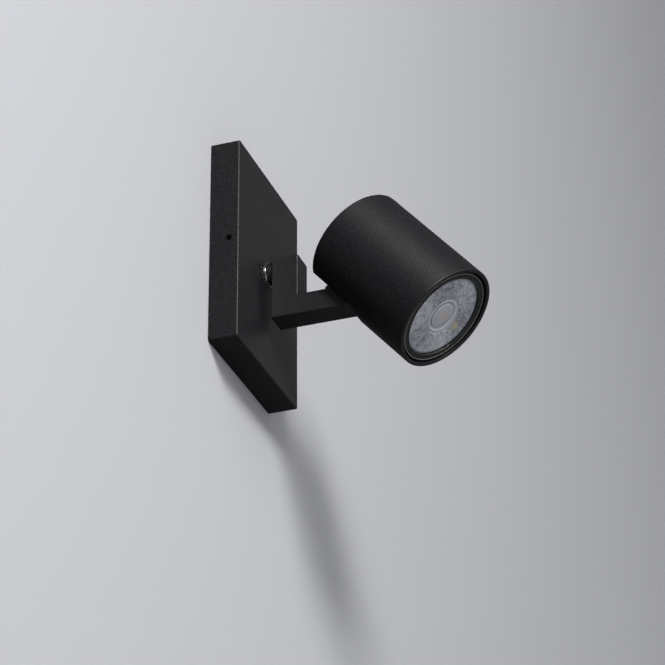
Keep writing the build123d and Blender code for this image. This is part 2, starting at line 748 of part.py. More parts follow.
with BuildPart() as holder_screws:
    for side in (1, -1):
        counterbore_floor = sideways(head_cross_plane.offset(holder_front - holder_counterbore_depth),
                                     0, side * holder_screw_spacing / 2)
        add_screw(counterbore_floor, holder_screw_radius,
                  holder_length - holder_counterbore_depth + ear_thickness - flat_clearance,
                  holder_screw_head_radius, holder_screw_head_height)
finish(holder_screws, "holder_screws")

# Contact plates at the bottom of the pin cavities; the ends of the lamp's pins bear on them.
cavity_floor = holder_front - holder_cavity_depth
with BuildPart() as holder_contacts:
    for half_turn in (0, 180):
        contact = curved_slot(head_cross_plane.offset(cavity_floor), pin_circle, 2 * pin_head_radius,
                              half_turn, pin_slot_turn)
        extrude(contact, amount=pin_tip - cavity_floor)
finish(holder_contacts, "holder_contacts")

# Leads of the head leave the holder's sides and run forward to the end of the arm.
# Each point is a distance along the head, one below its axis, and one out to the side.
head_lead_route = (
    (holder_lead_from_cap, holder_lead_from_axis, holder_radius - holder_lead_depth + loose_clearance),
    (holder_lead_from_cap, holder_lead_from_axis, holder_radius + head_lead_stub),
    (12.0, 8.0, holder_radius + head_lead_bow),
    (22.5, 12.0, holder_radius + head_lead_return),
    (31.3, 15.4, holder_radius - head_lead_tuck),
    (31.3, 14.9, lead_radius + flat_clearance),
)
for label, side in (("head_lead_live", -1), ("head_lead_neutral", 1)):
    head_lead_points = [
        head_side_plane.from_local_coords((along, under, side * across))
        for along, under, across in head_lead_route
    ]
    with BuildPart() as head_lead:
        add_lead(head_lead_points, [lead_bend, head_lead_bend, head_lead_bend, head_lead_bend])
    finish(head_lead, label)

# ---------------------------------------------------------------- lamp
with BuildPart() as lamp_pins:
    for side in (1, -1):
        pin_plane = sideways(head_cross_plane.offset(pin_tip), side * pin_circle, 0)
        add_round(pin_plane, pin_head_radius, pin_head_length)
        add_round(pin_plane, pin_radius, pin_length)
finish(lamp_pins, "lamp_pins")

# Lamp housing: straight neck, then a curved flare out to the full width.
lamp_cavity_radius = bezel_inner_radius - lamp_shell_wall
board_plane = head_cross_plane.offset(board_back)
with BuildPart() as lamp_body:
    with BuildSketch(head_side_plane):
        with BuildLine():
            Polyline(
                (bezel_back, 0),
                (holder_front, 0),
                (holder_front, lamp_neck_radius - lamp_neck_chamfer),
                (holder_front + lamp_neck_chamfer, lamp_neck_radius),
                (neck_front, lamp_neck_radius),
            )
            Spline(
                (neck_front, lamp_neck_radius),
                (neck_front + lamp_flare_length / 2, (lamp_neck_radius + lamp_radius) / 2 + lamp_shell_wall),
                (flare_front, lamp_radius),
                tangents=((1, 0.15), (1, 0.12)),
            )
            Polyline((flare_front, lamp_radius), (bezel_back, lamp_radius), (bezel_back, 0))
        make_face()
    revolve(axis=head_axis)
    cut_round(board_plane, lamp_cavity_radius, bezel_back - board_back)
    cut_round(board_plane, lamp_neck_radius - lamp_shell_wall, holder_front + lamp_shell_wall - board_back)
finish(lamp_body, "lamp_body")

with BuildPart() as lamp_bezel:
    add_ring(head_cross_plane.offset(bezel_back), lamp_radius, bezel_inner_radius, bezel_depth)
    bezel_edges = lamp_bezel.faces().sort_by(head_axis)[-1].edges()
    fillet(bezel_edges, bezel_edge_radius)
finish(lamp_bezel, "lamp_bezel")

# Clear optic: a disc with a centre dome in a ring groove, and a cone that narrows to the chip.
lens_radius = bezel_inner_radius - fit_clearance
with BuildPart() as lamp_lens:
    with BuildSketch(head_side_plane):
        with BuildLine():
            Polyline(
                (lens_back, chip_radius + lens_chip_gap),
                (lens_back, lens_base_radius),
                (lens_front - lens_rim_thickness, lamp_cavity_radius - lens_cone_gap),
                (lens_front - lens_rim_thickness, lens_radius),
                (lens_front, lens_radius),
                (lens_front, lens_ring_radius + lens_ring_slope),
                (lens_front - lens_ring_groove, lens_ring_radius),
            )
            TangentArc(
                (lens_front + lens_dome_rise, 0),
                (lens_front - lens_ring_groove, lens_ring_radius),
                tangent=(0, 1),
            )
            Line((lens_front + lens_dome_rise, 0), (lens_back + lens_hollow_depth, 0))
            TangentArc(
                (lens_back + lens_hollow_depth, 0),
                (lens_back, chip_radius + lens_chip_gap),
                tangent=(0, 1),
            )
        make_face()
    revolve(axis=head_axis)
finish(lamp_lens, "lamp_lens")

with BuildPart() as led_board:
    add_round(board_plane, lamp_cavity_radius - fit_clearance, board_thickness)
finish(led_board, "led_board")

with BuildPart() as led_chip:
    add_round(head_cross_plane.offset(chip_back), chip_radius, chip_thickness)
finish(led_chip, "led_chip")

print("head rear centre", head_rear, "front centre", head_rear + head_forward * head_length)
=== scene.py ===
import json
import math

import bmesh
import bpy
from mathutils import Matrix, Quaternion, Vector


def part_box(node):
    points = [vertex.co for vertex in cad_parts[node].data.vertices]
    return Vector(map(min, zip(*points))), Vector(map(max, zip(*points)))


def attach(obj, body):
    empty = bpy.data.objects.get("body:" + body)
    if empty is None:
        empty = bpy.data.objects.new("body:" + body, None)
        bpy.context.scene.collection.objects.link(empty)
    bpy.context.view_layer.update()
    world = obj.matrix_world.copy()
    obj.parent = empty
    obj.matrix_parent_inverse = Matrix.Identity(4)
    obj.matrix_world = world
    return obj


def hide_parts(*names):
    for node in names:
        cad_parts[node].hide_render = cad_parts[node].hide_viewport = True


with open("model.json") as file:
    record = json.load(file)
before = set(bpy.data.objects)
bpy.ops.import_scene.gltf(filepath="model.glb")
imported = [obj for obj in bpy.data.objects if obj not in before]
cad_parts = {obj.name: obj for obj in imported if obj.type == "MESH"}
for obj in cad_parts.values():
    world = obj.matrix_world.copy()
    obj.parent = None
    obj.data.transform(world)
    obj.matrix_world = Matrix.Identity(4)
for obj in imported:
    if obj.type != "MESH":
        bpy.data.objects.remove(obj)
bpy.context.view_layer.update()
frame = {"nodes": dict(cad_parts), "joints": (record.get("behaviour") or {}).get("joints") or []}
nodes = frame["nodes"]
mm = 0.001

# Everything is in metres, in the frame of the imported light: the wall is the plane y = 0,
# the light stands out along -Y and +Z is up.

# camera
cameraSet = {
    "place": (-1.11270, -0.44043, -0.68639),
    "lookAt": (0.02696, -0.03865, -0.02288),
    "roll": -0.393,     # degrees
    "lens": 150.52,     # mm
    "sensor": 36.0,     # mm
}


def makeCamera():
    data = bpy.data.cameras.new("photoCamera")
    data.lens = cameraSet["lens"]
    data.sensor_width = cameraSet["sensor"]
    data.dof.use_dof = False
    data.clip_start = 0.05
    data.clip_end = 50.0
    camera = bpy.data.objects.new("photoCamera", data)
    bpy.context.scene.collection.objects.link(camera)
    place = Vector(cameraSet["place"])
    aim = (Vector(cameraSet["lookAt"]) - place).to_track_quat("-Z", "Y")
    camera.rotation_mode = "QUATERNION"
    camera.rotation_quaternion = aim @ Quaternion((0, 0, 1), math.radians(cameraSet["roll"]))
    camera.location = place
    bpy.context.scene.camera = camera


makeCamera()
print("camera made")


# shader maths
class Wire:
    # one value on its way through a material, so that sums on it can be written as sums
    def __init__(self, paint, socket):
        self.paint = paint
        self.socket = socket

    def sum(self, operation, first, second=0.0):
        return self.paint.node("ShaderNodeMath", {"operation": operation}, {0: first, 1: second})

    def __add__(self, other):
        return self.sum("ADD", self, other)

    def __radd__(self, other):
        return self.sum("ADD", other, self)

    def __sub__(self, other):
        return self.sum("SUBTRACT", self, other)

    def __rsub__(self, other):
        return self.sum("SUBTRACT", other, self)

    def __mul__(self, other):
        return self.sum("MULTIPLY", self, other)

    def __rmul__(self, other):
        return self.sum("MULTIPLY", other, self)

    def __truediv__(self, other):
        return self.sum("DIVIDE", self, other)

    def __pow__(self, other):
        return self.sum("POWER", self, other)

    def __gt__(self, other):
        return self.sum("GREATER_THAN", self, other)


class Paint:
    # a material whose nodes are all made by the one method below
    def __init__(self, name):
        self.material = bpy.data.materials.new(name)
        self.material.use_nodes = True
        self.tree = self.material.node_tree
        self.tree.nodes.clear()
        self.place = self.node("ShaderNodeTexCoord", output="Object")

    def node(self, kind, settings=None, inputs=None, output=0):
        made = self.tree.nodes.new(kind)
        for key, value in (settings or {}).items():
            if key == "stops":
                ramp = made.color_ramp.elements
                while len(ramp) < len(value):
                    ramp.new(1.0)
                for stop, (position, shade) in zip(ramp, value):
                    stop.position = position
                    stop.color = colour(shade if isinstance(shade, tuple) else (shade, shade, shade))
            else:
                setattr(made, key, value)
        for key, value in (inputs or {}).items():
            if isinstance(value, Wire):
                self.tree.links.new(value.socket, made.inputs[key])
            else:
                made.inputs[key].default_value = value
        return Wire(self, made.outputs[output])

    def split(self, vector):
        first = self.node("ShaderNodeSeparateXYZ", {}, {"Vector": vector})
        return [Wire(self, socket) for socket in first.socket.node.outputs]

    def stretched(self, scale):
        return self.node("ShaderNodeMapping", {}, {"Vector": self.place, "Scale": scale})

    def noise(self, grain, detail=2.0, place=None):
        sockets = {"Vector": place or self.place, "Scale": 1.0 / grain, "Detail": detail}
        return self.node("ShaderNodeTexNoise", {}, sockets)

    def cells(self, grain, output="Distance", place=None):
        sockets = {"Vector": place or self.place, "Scale": 1.0 / grain}
        return self.node("ShaderNodeTexVoronoi", {}, sockets, output)

    def chance(self, grain, place=None):
        # one random level for each cell of this size
        return self.node("ShaderNodeSeparateColor", {}, {"Color": self.cells(grain, "Color", place)}, "Red")

    def steps(self, value, stops):
        return self.node("ShaderNodeValToRGB", {"stops": stops}, {"Fac": value}, "Color")

    def mixed(self, factor, first, second):
        sockets = {0: factor, 6: colour(first), 7: colour(second)}
        return self.node("ShaderNodeMix", {"data_type": "RGBA"}, sockets, 2)

    def bumped(self, height, depth):
        return self.node("ShaderNodeBump", {}, {"Height": height, "Distance": depth, "Strength": 1.0})

    def surface(self, **sockets):
        named = {key.replace("_", " "): value for key, value in sockets.items()}
        named["Base Color"] = colour(named["Base Color"])
        self.close(self.node("ShaderNodeBsdfPrincipled", {}, named, "BSDF"))
        return self.material

    def close(self, shader):
        end = self.tree.nodes.new("ShaderNodeOutputMaterial")
        self.tree.links.new(shader.socket, end.inputs["Surface"])


def colour(value):
    if isinstance(value, Wire) or len(value) == 4:
        return value
    return (*value, 1.0)


def darker(shade, share):
    return tuple(share * part for part in shade)


# finishes
powderSet = {
    "dark": (0.0030, 0.0022, 0.0034),
    "light": (0.0150, 0.0122, 0.0163),
    "grain": 0.55 * mm,
    "pit": 1.1 * mm,
    "cloud": 22 * mm,
    "grainShare": 0.6,                      # of the specks, the rest follows the pits
    "specks": [(0.44, 0.0), (0.66, 1.0)],
    "grainBump": 0.55,
    "pitBump": 0.75,
    "depth": 0.070 * mm,
    "roughness": 0.40,
    "cloudDull": 0.08,
    "grainDull": 0.10,
    "gloss": 0.46,
}


def powderCoat(name):
    paint = Paint(name)
    fine = paint.noise(powderSet["grain"], 2.0)
    coarse = paint.noise(powderSet["pit"], 1.0)
    cloud = paint.noise(powderSet["cloud"], 2.0)
    mix = fine * powderSet["grainShare"] + coarse * (1 - powderSet["grainShare"])
    speck = paint.steps(mix, powderSet["specks"])
    return paint.surface(
        Base_Color=paint.mixed(speck, powderSet["dark"], powderSet["light"]),
        Roughness=powderSet["roughness"] + cloud * powderSet["cloudDull"] + fine * powderSet["grainDull"],
        Specular_IOR_Level=powderSet["gloss"],
        Normal=paint.bumped(fine * powderSet["grainBump"] + coarse * powderSet["pitBump"], powderSet["depth"]),
    )


metalSet = {
    "kinds": {
        # name: colour, roughness, size of the polishing lines
        "darkScrew": ((0.020, 0.020, 0.021), 0.34, 0.3 * mm),
        "zinc": ((0.62, 0.63, 0.65), 0.26, 0.4 * mm),
        "spring": ((0.40, 0.40, 0.41), 0.30, 0.3 * mm),
        "brass": ((0.76, 0.55, 0.22), 0.24, 0.3 * mm),
        "tin": ((0.70, 0.70, 0.68), 0.30, 0.3 * mm),
    },
    "cloud": 4 * mm,
    "dull": 0.72,
    "lineStretch": 9.0,
    "depth": 0.006 * mm,
    "cloudDull": 0.12,
    "lineDull": 0.06,
    "threadPitch": 0.75 * mm,
    "threadDepth": 0.22 * mm,
}


def platedMetal(name, kind, threaded=False):
    shade, roughness, grain = metalSet["kinds"][kind]
    paint = Paint(name)
    cloud = paint.noise(metalSet["cloud"], 3.0)
    lines = paint.noise(grain, 2.0, paint.stretched((1.0, 1.0, metalSet["lineStretch"])))
    height, depth = lines, metalSet["depth"]
    if threaded:        # a screw thread about an axis along Y
        turn = paint.split(paint.place)[1] * (2 * math.pi / metalSet["threadPitch"])
        height, depth = turn.sum("SINE", turn) * 0.5, metalSet["threadDepth"]
    return paint.surface(
        Base_Color=paint.mixed(cloud, darker(shade, metalSet["dull"]), shade),
        Metallic=1.0,
        Roughness=roughness + cloud * metalSet["cloudDull"] + lines * metalSet["lineDull"],
        Normal=paint.bumped(height, depth),
    )


chromeSet = {"colour": (0.80, 0.81, 0.83), "dull": 0.9, "roughness": 0.02, "haze": 0.03, "grain": 1.5 * mm}


def chromePlate(name):
    paint = Paint(name)
    haze = paint.noise(chromeSet["grain"], 2.0)
    return paint.surface(
        Base_Color=paint.mixed(haze, darker(chromeSet["colour"], chromeSet["dull"]), chromeSet["colour"]),
        Metallic=1.0,
        Roughness=chromeSet["roughness"] + haze * chromeSet["haze"],
    )


plasticSet = {
    "kinds": {
        # name: colour, roughness, grain size, grain depth, specular level
        "nylon": ((0.80, 0.80, 0.76), 0.48, 0.5 * mm, 0.012 * mm, 0.5),
        "washer": ((0.50, 0.50, 0.48), 0.42, 0.5 * mm, 0.010 * mm, 0.5),
        "live": ((0.115, 0.045, 0.020), 0.46, 0.5 * mm, 0.010 * mm, 0.5),
        "neutral": ((0.020, 0.085, 0.36), 0.46, 0.5 * mm, 0.010 * mm, 0.5),
        "housing": ((0.66, 0.66, 0.65), 0.36, 0.7 * mm, 0.010 * mm, 0.5),
        "bezel": ((0.016, 0.015, 0.014), 0.13, 1.2 * mm, 0.006 * mm, 0.65),
        # pale grey of the outer lip: a painted highlight on the black bezel's edge
        "lip": ((0.34, 0.34, 0.31), 0.18, 1.2 * mm, 0.006 * mm, 0.6),
        "board": ((0.74, 0.74, 0.73), 0.34, 0.5 * mm, 0.010 * mm, 0.5),
    },
    "cloud": 9 * mm,
    "dull": 0.86,
    "grainDull": 0.08,
}


def mouldedPlastic(name, kind):
    shade, roughness, grain, depth, gloss = plasticSet["kinds"][kind]
    paint = Paint(name)
    fine = paint.noise(grain, 2.0)
    cloud = paint.noise(plasticSet["cloud"], 2.0)
    return paint.surface(
        Base_Color=paint.mixed(cloud, darker(shade, plasticSet["dull"]), shade),
        Roughness=roughness + fine * plasticSet["grainDull"],
        Specular_IOR_Level=gloss,
        Normal=paint.bumped(fine, depth),
    )


ceramicSet = {
    "dull": (0.72, 0.69, 0.62),
    "pale": (0.83, 0.81, 0.76),
    "cloud": 6 * mm,
    "fleck": (0.38, 0.33, 0.27),
    "fleckSize": 1.1 * mm,
    "flecks": [(0.10, 1.0), (0.16, 0.0)],
    "fleckShare": 0.35,
    "grain": 0.25 * mm,
    "depth": 0.02 * mm,
    "roughness": 0.42,
    "grainDull": 0.2,
}


def firedCeramic(name):
    paint = Paint(name)
    fine = paint.noise(ceramicSet["grain"], 3.0)
    flecks = paint.steps(paint.cells(ceramicSet["fleckSize"]), ceramicSet["flecks"])
    body = paint.mixed(paint.noise(ceramicSet["cloud"], 2.0), ceramicSet["dull"], ceramicSet["pale"])
    return paint.surface(
        Base_Color=paint.mixed(flecks * ceramicSet["fleckShare"], body, ceramicSet["fleck"]),
        Roughness=ceramicSet["roughness"] + fine * ceramicSet["grainDull"],
        Normal=paint.bumped(fine, ceramicSet["depth"]),
    )


fibreSet = {
    "dark": (0.16, 0.030, 0.018),
    "light": (0.36, 0.085, 0.050),
    "strand": 0.5 * mm,
    "stretch": 4.0,
    "depth": 0.02 * mm,
    "roughness": 0.62,
    "strandDull": 0.2,
}


def fibreBoard(name):
    paint = Paint(name)
    strands = paint.noise(fibreSet["strand"], 4.0, paint.stretched((1.0, fibreSet["stretch"], 1.0)))
    return paint.surface(
        Base_Color=paint.mixed(strands, fibreSet["dark"], fibreSet["light"]),
        Roughness=fibreSet["roughness"] + strands * fibreSet["strandDull"],
        Normal=paint.bumped(strands, fibreSet["depth"]),
    )


earthSet = {
    "green": (0.035, 0.20, 0.035),
    "yellow": (0.72, 0.58, 0.03),
    "pitch": 3.2 * mm,
    "slant": 1.7,
    "greenShare": 0.62,
    "grain": 0.4 * mm,
    "roughness": 0.42,
    "grainDull": 0.1,
}


def earthInsulation(name):
    # a yellow stripe that crosses the green lead in a slant
    paint = Paint(name)
    along, _, rise = paint.split(paint.place)
    phase = (along + rise * earthSet["slant"]) / earthSet["pitch"]
    stripe = phase.sum("FRACT", phase) > earthSet["greenShare"]
    return paint.surface(
        Base_Color=paint.mixed(stripe, earthSet["green"], earthSet["yellow"]),
        Roughness=earthSet["roughness"] + paint.noise(earthSet["grain"]) * earthSet["grainDull"],
    )


phosphorSet = {
    "dark": (0.52, 0.20, 0.07),
    "light": (0.86, 0.46, 0.20),
    "dice": 0.9 * mm,
    "diceShare": 0.6,
    "grain": 0.2 * mm,
    "depth": 0.02 * mm,
    "roughness": 0.4,
    "grainDull": 0.2,
}


def ledPhosphor(name):
    paint = Paint(name)
    dice = paint.chance(phosphorSet["dice"])
    grain = paint.noise(phosphorSet["grain"], 2.0)
    level = dice * phosphorSet["diceShare"] + grain * (1 - phosphorSet["diceShare"])
    return paint.surface(
        Base_Color=paint.mixed(level, phosphorSet["dark"], phosphorSet["light"]),
        Roughness=phosphorSet["roughness"] + grain * phosphorSet["grainDull"],
        Normal=paint.bumped(grain, phosphorSet["depth"]),
    )


coatings = {
    "black": powderCoat("blackPowderCoat"),
    "thread": platedMetal("threadedZinc", "zinc", threaded=True),
    "chrome": chromePlate("chromePlate"),
    "fibre": fibreBoard("redFibre"),
    "ceramic": firedCeramic("firedCeramic"),
    "earth": earthInsulation("earthInsulation"),
    "phosphor": ledPhosphor("ledPhosphor"),
}
for kind in metalSet["kinds"]:
    coatings[kind] = platedMetal(kind + "Metal", kind)
for kind in plasticSet["kinds"]:
    coatings[kind] = mouldedPlastic(kind + "Plastic", kind)
print("finishes ready")

coatingOfNode = {
    "black": ["wall_cover", "arm_bar", "channel_plug", "leg_spacer", "head_shell"],
    "darkScrew": ["rear_screws", "cover_grub_screws"],
    "zinc": ["mounting_bracket", "hinge_bracket", "stop_washer", "stem_nut", "stop_pin", "terminal_screws",
             "terminal_fixing_screw", "holder_screws", "pivot_screws", "earth_screw"],
    "thread": ["swivel_stem"],
    "spring": ["spring_washer"],
    "chrome": ["swivel_collar"],
    "brass": ["terminal_sleeves", "holder_contacts"],
    "tin": ["earth_tag", "lamp_pins"],
    "nylon": ["terminal_block"],
    "washer": ["friction_washers"],
    "fibre": ["fibre_washer"],
    "ceramic": ["lampholder"],
    "live": ["base_lead_live", "arm_lead_live", "head_lead_live"],
    "neutral": ["base_lead_neutral", "arm_lead_neutral", "head_lead_neutral"],
    "earth": ["earth_lead"],
    "housing": ["lamp_body"],
    "bezel": ["lamp_bezel"],
    "board": ["led_board"],
    "phosphor": ["led_chip"],
}

for finish, names in coatingOfNode.items():
    for name in names:
        slots = nodes[name].data.materials
        slots.clear()
        slots.append(coatings[finish])
print("finishes on the packed pieces")

# the head's own directions
headSet = {
    "tilt": 49.0,               # degrees below level, at rest
    "pivotFromRear": 26.0 * mm,
    "pivotFromAxis": 19.5 * mm,
}
pivot = Vector(next(joint["pos_m"] for joint in frame["joints"] if joint["name"] == "head_tilt"))
tilt = math.radians(headSet["tilt"])
headForward = Vector((0, -math.cos(tilt), -math.sin(tilt)))
headUp = Vector((0, -math.sin(tilt), math.cos(tilt)))
headRear = pivot - headForward * headSet["pivotFromRear"] + headUp * headSet["pivotFromAxis"]
headPlace = Matrix.Translation(headRear) @ Matrix((
    (1, headUp.x, headForward.x, 0),
    (0, headUp.y, headForward.y, 0),
    (0, headUp.z, headForward.z, 0),
    (0, 0, 0, 1),
))


def newPiece(name, mesh, finish, body):
    piece = bpy.data.objects.new(name, mesh)
    bpy.context.scene.collection.objects.link(piece)
    if finish is not None:
        mesh.materials.clear()
        mesh.materials.append(finish)
    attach(piece, body)
    return piece


samePoint = 0.001 * mm


def turned(name, profile, around, smooth=True, place=headPlace):
    # a turned shape from (radius, distance along the axis) points, about the head's axis unless told otherwise
    shape = bmesh.new()
    rings = []
    for radius, along in profile:
        if radius == 0:
            rings.append([shape.verts.new((0, 0, along))])
            continue
        ring = []
        for step in range(around):
            angle = 2 * math.pi * step / around
            ring.append(shape.verts.new((radius * math.cos(angle), radius * math.sin(angle), along)))
        rings.append(ring)
    for inner, outer in zip(rings, rings[1:]):
        for step in range(around):
            after = (step + 1) % around
            corners = [inner[step % len(inner)], outer[step % len(outer)],
                       outer[after % len(outer)], inner[after % len(inner)]]
            unique = list(dict.fromkeys(corners))
            if len(unique) > 2:
                shape.faces.new(unique)
    bmesh.ops.remove_doubles(shape, verts=shape.verts, dist=samePoint)
    bmesh.ops.recalc_face_normals(shape, faces=shape.faces)
    for face in shape.faces:
        face.smooth = smooth
    mesh = bpy.data.meshes.new(name)
    shape.to_mesh(mesh)
    shape.free()
    mesh.transform(place)
    return mesh


# lamp optic
opticSet = {
    "front": 65.9 * mm,         # along the head, from the outside of its rear
    "radius": 21.55 * mm,
    "thickness": 1.6 * mm,
    "ringRadius": 8.75 * mm,
    "ringGroove": 0.7 * mm,
    "innerRing": 6.2 * mm,
    "domeRise": 0.2 * mm,
    "domeFall": 0.55,           # share of its height that the dome loses by its edge
    "domeSteps": 8,
    "edge": 0.3 * mm,
    "around": 96,
    "coneFrontRadius": 19.8 * mm,
    "coneBackRadius": 8.2 * mm,
    "coneCurve": 0.8,
    "depth": 12.0 * mm,
    "facetsAround": 44,
    "facetRows": 7,
    # how far out and how far forward each corner lies from the place that is named beside it
    "grooveStart": (0.25 * mm, 0.10 * mm),      # inner ring, groove
    "grooveEnd": (-0.9 * mm, 0.15 * mm),        # ring, groove
    "ringFoot": (-0.6 * mm, -0.05 * mm),        # ring, front
    "stepFoot": (0.25 * mm, 0.1 * mm),          # ring, groove
    "stepTop": (0.8 * mm, -0.1 * mm),           # ring, front
    "recess": (-0.2 * mm, 0.3 * mm),            # cone's front radius, back
    "coneWall": (0.4 * mm, -0.1 * mm),          # the cone's own inside
    # colours, and how much each pattern counts; the patterns are painted reflections, glints, highlights and shade
    # on the clear optic
    "dark": (0.19, 0.20, 0.25),
    "pale": (0.92, 0.94, 1.00),
    "facetSize": 0.85 * mm,
    "blotchSize": 2.8 * mm,
    "rayStretch": 0.45,
    "sparkleSize": 0.9 * mm,
    "facetShare": 0.55,
    "blotchShare": 0.90,
    "sparkleShare": 0.55,
    "lobeShare": 0.16,
    "levelDrop": 0.44,
    # painted glow: the image of the LED's phosphor seen through the dome, set as colour at the centre
    "glow": (0.72, 0.54, 0.51),
    "glowRadius": 4.4 * mm,
    # painted reflection: a yellowish glint of the phosphor off one facet, placed as a spot
    "glint": (0.72, 0.66, 0.44),
    "glintPlace": (13.6 * mm, 2.2 * mm),
    "glintSize": 3.3 * mm,
    "glintSquash": 0.45,
    "glintRag": 0.25,
    # painted highlight: a pale blue line round the optic's rim
    "rimHighlight": (0.38, 0.47, 0.51),
    "lobes": 3.0,
    "lobeTurn": 4.55,           # radians
    "arcTurn": 3.7,             # radians
    "arcDark": 0.75,
    "ringSparkle": 0.35,
    "glowRag": 0.3,
    "ripple": 0.7 * mm,
    "rippleBump": 0.6,
    "facetBump": 0.4,
    "roughness": 0.10,
    "rippleDull": 0.10,
    "gloss": 0.7,
    "faceDepth": 0.10 * mm,
    "beadDepth": 0.05 * mm,
    # levels by the share of the optic's radius, by the way an arc faces, or by the share of a spot's size; the
    # ring, arc, glow, glint and rim levels are painted highlights and shade
    "ringStops": [(0.00, 0.78), (0.20, 0.62), (0.26, 0.56), (0.29, 0.92), (0.31, 0.46), (0.35, 0.50),
                  (0.385, 0.86), (0.42, 0.74), (0.445, 0.36), (0.475, 0.62)],
    "arcStops": [(0.295, 0.0), (0.315, 1.0), (0.335, 0.3), (0.43, 0.0), (0.445, 1.0), (0.465, 0.8), (0.48, 0.0)],
    "facingStops": [(0.25, 0.0), (0.85, 1.0)],
    "middleStops": [(0.455, 0.0), (0.50, 1.0)],
    "glowStops": [(0.35, 0.85), (1.0, 0.0)],
    "glintStops": [(0.55, 0.8), (0.80, 0.0)],
    "rimHighlightStops": [(0.945, 0.0), (0.965, 1.0)],
    "faceAlpha": [(0.0, 0.86), (0.27, 0.80), (0.42, 0.92), (1.0, 0.90)],
    "beadAlpha": [(0.0, 0.75), (1.0, 0.75)],
}


def opticPlace(paint):
    # the distance from the head's axis, and the two directions square to it
    across, out, rise = paint.split(paint.place)
    upward = (out - headRear.y) * headUp.y + (rise - headRear.z) * headUp.z
    return across, upward, (across * across + upward * upward) ** 0.5


def opticShade(paint, ripple):
    # moulded optic with its look from outside painted in: painted glints as bright and dark facets, three paler
    # lobes of painted light, painted bright rings with painted shade on one side at the middle, a painted image of
    # the LED at the centre, a painted glint and a painted highlight round the rim
    look = opticSet
    across, upward, radius = opticPlace(paint)
    share = radius / look["radius"]
    angle = upward.sum("ARCTAN2", upward, across)
    # painted light: three paler lobes round the axis, lighter where light falls on the face
    lobeAngle = angle * look["lobes"] - look["lobeTurn"]
    lobes = lobeAngle.sum("COSINE", lobeAngle)
    around = angle * look["radius"]
    rows = paint.node("ShaderNodeCombineXYZ", {}, {"X": around, "Y": radius})
    rays = paint.node("ShaderNodeCombineXYZ", {}, {"X": around, "Y": radius * look["rayStretch"]})
    # painted glints: a random level for each facet and finer noise stand in for light caught by the moulded facets
    facets = paint.chance(look["facetSize"], rows)
    coarse = paint.noise(look["blotchSize"], 2.0, rays)
    fine = paint.noise(look["sparkleSize"], 1.0, rows)
    level = (facets * look["facetShare"] + coarse * look["blotchShare"] + fine * look["sparkleShare"]
             + lobes * look["lobeShare"] - look["levelDrop"])
    shade = paint.mixed(level, look["dark"], look["pale"])

    # painted highlights and shade: bright and dark rings at the middle, with painted dark arcs on the side that
    # faces arcTurn
    rings = paint.steps(share, look["ringStops"])
    arcs = paint.steps(share, look["arcStops"])
    arcAngle = angle - look["arcTurn"]
    facing = paint.steps(arcAngle.sum("COSINE", arcAngle), look["facingStops"])
    ringLevel = rings + (fine - 0.5) * look["ringSparkle"] - arcs * facing * look["arcDark"]
    middle = paint.mixed(ringLevel, look["dark"], look["pale"])
    shade = paint.mixed(paint.steps(share, look["middleStops"]), middle, shade)

    # painted glow: a pinkish spot at the centre, the LED phosphor's image painted as colour, with no light given
    # off
    glow = paint.steps(radius / look["glowRadius"] + ripple * look["glowRag"], look["glowStops"])
    shade = paint.mixed(glow, shade, look["glow"])
    # painted reflection: the phosphor's yellowish glint, painted as a ragged spot at glintPlace
    glintX, glintY = look["glintPlace"]
    offX, offY = across - glintX, upward - glintY
    off = (offX * offX * look["glintSquash"] + offY * offY) ** 0.5 / look["glintSize"]
    glint = paint.steps(off + facets * look["glintRag"], look["glintStops"])
    shade = paint.mixed(glint, shade, look["glint"])
    # painted highlight: a pale blue band round the rim
    return paint.mixed(paint.steps(share, look["rimHighlightStops"]), shade, look["rimHighlight"]), facets, share


def clearOptic(name, alphaStops, depth):
    # a clear optic whose base colour carries the painted reflections, glints and highlights made by opticShade
    paint = Paint(name)
    ripple = paint.noise(opticSet["ripple"], 3.0)
    shade, facets, share = opticShade(paint, ripple)
    return paint.surface(
        Base_Color=shade,
        Roughness=opticSet["roughness"] + ripple * opticSet["rippleDull"],
        Specular_IOR_Level=opticSet["gloss"],
        Alpha=paint.steps(share, alphaStops),
        Normal=paint.bumped(ripple * opticSet["rippleBump"] + facets * opticSet["facetBump"], depth),
    )


mirrorSet = {
    "dark": (0.12, 0.13, 0.15),
    "pale": (0.82, 0.86, 0.92),
    "facet": 1.4 * mm,
    "grain": 0.8 * mm,
    "depth": 0.05 * mm,
    "roughness": 0.16,
    "facetDull": 0.16,
}


def mirrorFacets(name):
    paint = Paint(name)
    level = paint.chance(mirrorSet["facet"])
    return paint.surface(
        Base_Color=paint.mixed(level, mirrorSet["dark"], mirrorSet["pale"]),
        Metallic=1.0,
        Roughness=mirrorSet["roughness"] + level * mirrorSet["facetDull"],
        Normal=paint.bumped(paint.noise(mirrorSet["grain"], 2.0), mirrorSet["depth"]),
    )


def cornerBy(name, radius, along):
    out, forward = opticSet[name]
    return radius + out, along + forward


